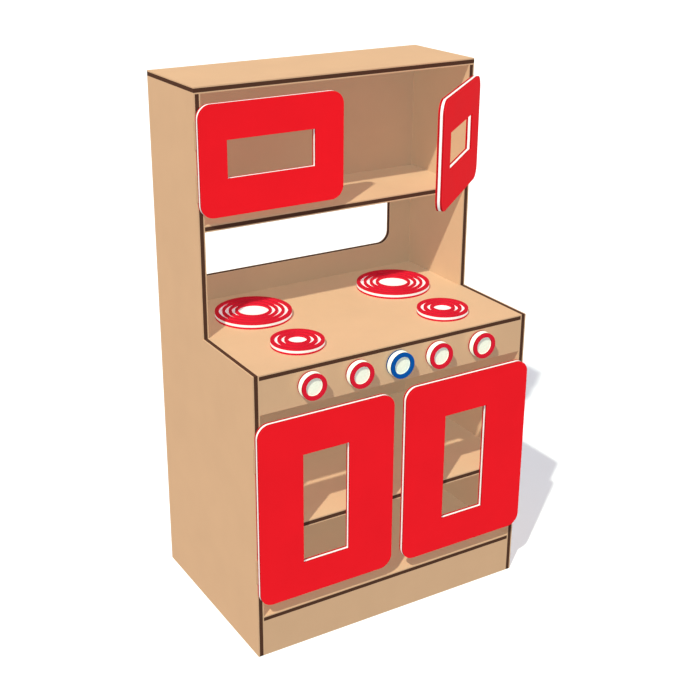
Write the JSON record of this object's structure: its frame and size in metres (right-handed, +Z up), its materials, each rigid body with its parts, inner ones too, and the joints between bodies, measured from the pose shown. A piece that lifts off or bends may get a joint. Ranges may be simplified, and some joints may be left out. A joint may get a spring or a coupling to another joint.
{
  "type": "play stove",
  "caption": "Play stove with a counter, raised burners, turning knobs and cupboard doors with windows, and a hutch with a shelf and a pass-through window.",
  "frame": {"origin": "on the floor, under the middle of the whole stove's footprint, knobs included", "axes": "+Z up, +X to the right seen from the front, +Y from the front to the back"},
  "size_m": [0.6214, 0.4278, 1.062],
  "materials": {
    "tan_sheet": "three-layer polyethylene sheet: fine-grained tan skins on a dark brown core that shows at every edge",
    "red_sheet": "three-layer polyethylene sheet: fine-grained red skins on a white core that shows at every edge",
    "red_knob_sheet": "thicker three-layer polyethylene sheet: red skins on a white core that shows at the rim and in the recess",
    "blue_sheet": "thicker three-layer polyethylene sheet: blue skins on a white core that shows at the rim and in the recess",
    "steel": "plain satin stainless steel",
    "brass": "plain turned brass",
    "nylon": "plain natural nylon"
  },
  "bodies": {
    "cabinet": {"side_panel_left": "tan_sheet", "side_panel_right": "tan_sheet", "top_panel": "tan_sheet", "back_panel": "tan_sheet", "counter_top": "tan_sheet", "hutch_shelf": "tan_sheet", "middle_shelf": "tan_sheet", "bottom_shelf": "tan_sheet", "kick_board": "tan_sheet", "control_panel": "tan_sheet", "burner_rear_left": "red_sheet", "burner_rear_right": "red_sheet", "burner_front_left": "red_sheet", "burner_front_right": "red_sheet", "knob_spacers": "nylon", "knob_washers": "steel", "hinge_frame_leaves": "steel", "hinge_pins": "steel", "hinge_frame_screws": "steel", "dowels": "nylon", "pocket_screws": "steel", "back_panel_screws": "steel", "burner_screws": "steel"},
    "lower_left_door": {"door_lower_left": "red_sheet", "hinge_leaf_lower_left": "steel", "leaf_screws_lower_left": "steel"},
    "lower_right_door": {"door_lower_right": "red_sheet", "hinge_leaf_lower_right": "steel", "leaf_screws_lower_right": "steel"},
    "upper_left_door": {"door_upper_left": "red_sheet", "hinge_leaf_upper_left": "steel", "leaf_screws_upper_left": "steel"},
    "upper_right_door": {"door_upper_right": "red_sheet", "hinge_leaf_upper_right": "steel", "leaf_screws_upper_right": "steel"},
    "outer_left_knob": {"knob_outer_left": "red_knob_sheet", "knob_insert_outer_left": "brass", "knob_bolt_outer_left": "steel"},
    "inner_left_knob": {"knob_inner_left": "red_knob_sheet", "knob_insert_inner_left": "brass", "knob_bolt_inner_left": "steel"},
    "middle_knob": {"knob_middle": "blue_sheet", "knob_insert_middle": "brass", "knob_bolt_middle": "steel"},
    "inner_right_knob": {"knob_inner_right": "red_knob_sheet", "knob_insert_inner_right": "brass", "knob_bolt_inner_right": "steel"},
    "outer_right_knob": {"knob_outer_right": "red_knob_sheet", "knob_insert_outer_right": "brass", "knob_bolt_outer_right": "steel"}
  },
  "joints": [
    {"name": "lower_left_door_hinge", "type": "hinge", "parent": "cabinet", "child": "lower_left_door", "pos_m": [-0.305, -0.19525, 0.308], "axis": [0, 0, -1], "range_deg": [0, 165]},
    {"name": "lower_right_door_hinge", "type": "hinge", "parent": "cabinet", "child": "lower_right_door", "pos_m": [0.305, -0.19525, 0.308], "axis": [0, 0, 1], "range_deg": [0, 165]},
    {"name": "upper_left_door_hinge", "type": "hinge", "parent": "cabinet", "child": "upper_left_door", "pos_m": [-0.305, 0.00675, 0.928], "axis": [0, 0, -1], "range_deg": [0, 165]},
    {"name": "upper_right_door_hinge", "type": "hinge", "parent": "cabinet", "child": "upper_right_door", "pos_m": [0.305, 0.00675, 0.928], "axis": [0, 0, 1], "range_deg": [-40.5, 124.5]},
    {"name": "outer_left_knob_turn", "type": "hinge", "parent": "cabinet", "child": "outer_left_knob", "pos_m": [-0.1902, -0.20405, 0.54935], "axis": [0, 1, 0], "continuous": true},
    {"name": "inner_left_knob_turn", "type": "hinge", "parent": "cabinet", "child": "inner_left_knob", "pos_m": [-0.089, -0.20405, 0.54935], "axis": [0, 1, 0], "continuous": true},
    {"name": "middle_knob_turn", "type": "hinge", "parent": "cabinet", "child": "middle_knob", "pos_m": [0, -0.20405, 0.54935], "axis": [0, 1, 0], "continuous": true},
    {"name": "inner_right_knob_turn", "type": "hinge", "parent": "cabinet", "child": "inner_right_knob", "pos_m": [0.089, -0.20405, 0.54935], "axis": [0, 1, 0], "continuous": true},
    {"name": "outer_right_knob_turn", "type": "hinge", "parent": "cabinet", "child": "outer_right_knob", "pos_m": [0.1902, -0.20405, 0.54935], "axis": [0, 1, 0], "continuous": true}
  ]
}
